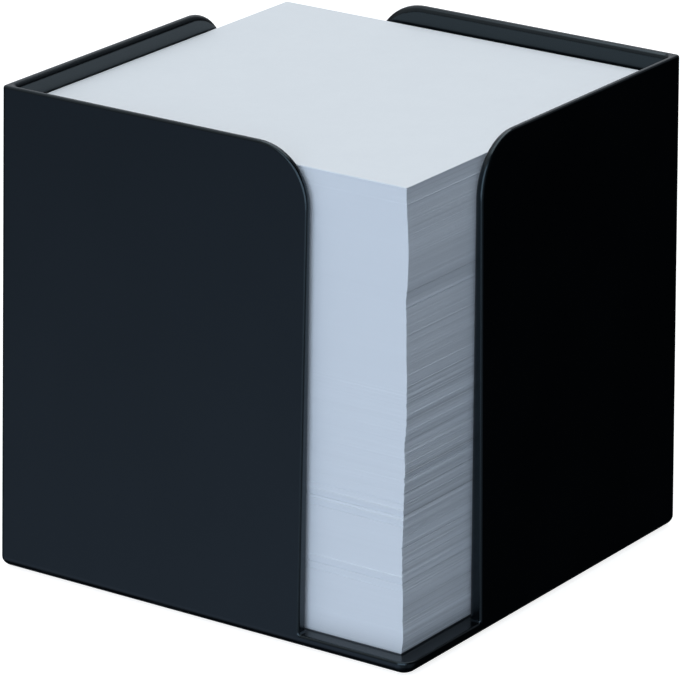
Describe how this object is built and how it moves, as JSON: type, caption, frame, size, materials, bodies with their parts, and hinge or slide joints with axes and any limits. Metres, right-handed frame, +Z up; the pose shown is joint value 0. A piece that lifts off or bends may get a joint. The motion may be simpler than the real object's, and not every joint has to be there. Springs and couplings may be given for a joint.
{
  "type": "memo sheet holder",
  "caption": "Square desk holder with L-shaped walls and open corners, filled with a stack of loose note sheets that lift out upwards.",
  "frame": {"origin": "centre of the underside, on the surface that the holder stands on", "axes": "+Z up; the walls are square to X and Y, and the open corners are at (+X, -Y) and (-X, +Y)"},
  "size_m": [0.0974, 0.0974, 0.0995],
  "materials": {
    "holder_plastic": "satin to semi-gloss black, smooth moulded",
    "paper": "matt, uncoated, cool white"
  },
  "bodies": {
    "holder": {"holder": "holder_plastic"},
    "sheet_block": {"sheets_01": "paper", "sheets_02": "paper", "sheets_03": "paper", "sheets_04": "paper", "sheets_05": "paper", "sheets_06": "paper", "sheets_07": "paper", "sheets_08": "paper", "sheets_09": "paper", "sheets_10": "paper", "sheets_11": "paper", "sheets_12": "paper", "sheets_13": "paper", "sheets_14": "paper", "sheets_15": "paper", "sheets_16": "paper", "sheets_17": "paper", "sheets_18": "paper", "sheets_19": "paper", "sheets_20": "paper"},
    "upper_sheets": {"sheet_proud": "paper", "sheets_21": "paper", "sheet_second": "paper"},
    "top_sheet": {"sheet_top": "paper"}
  },
  "joints": [
    {"name": "sheet_block_lift", "type": "slide", "parent": "holder", "child": "sheet_block", "axis": [0, 0, 1], "range_m": [0, 0.105]},
    {"name": "upper_sheets_lift", "type": "slide", "parent": "sheet_block", "child": "upper_sheets", "axis": [0, 0, 1], "range_m": [0, 0.04]},
    {"name": "top_sheet_lift", "type": "slide", "parent": "upper_sheets", "child": "top_sheet", "axis": [0, 0, 1], "range_m": [0, 0.03]}
  ]
}
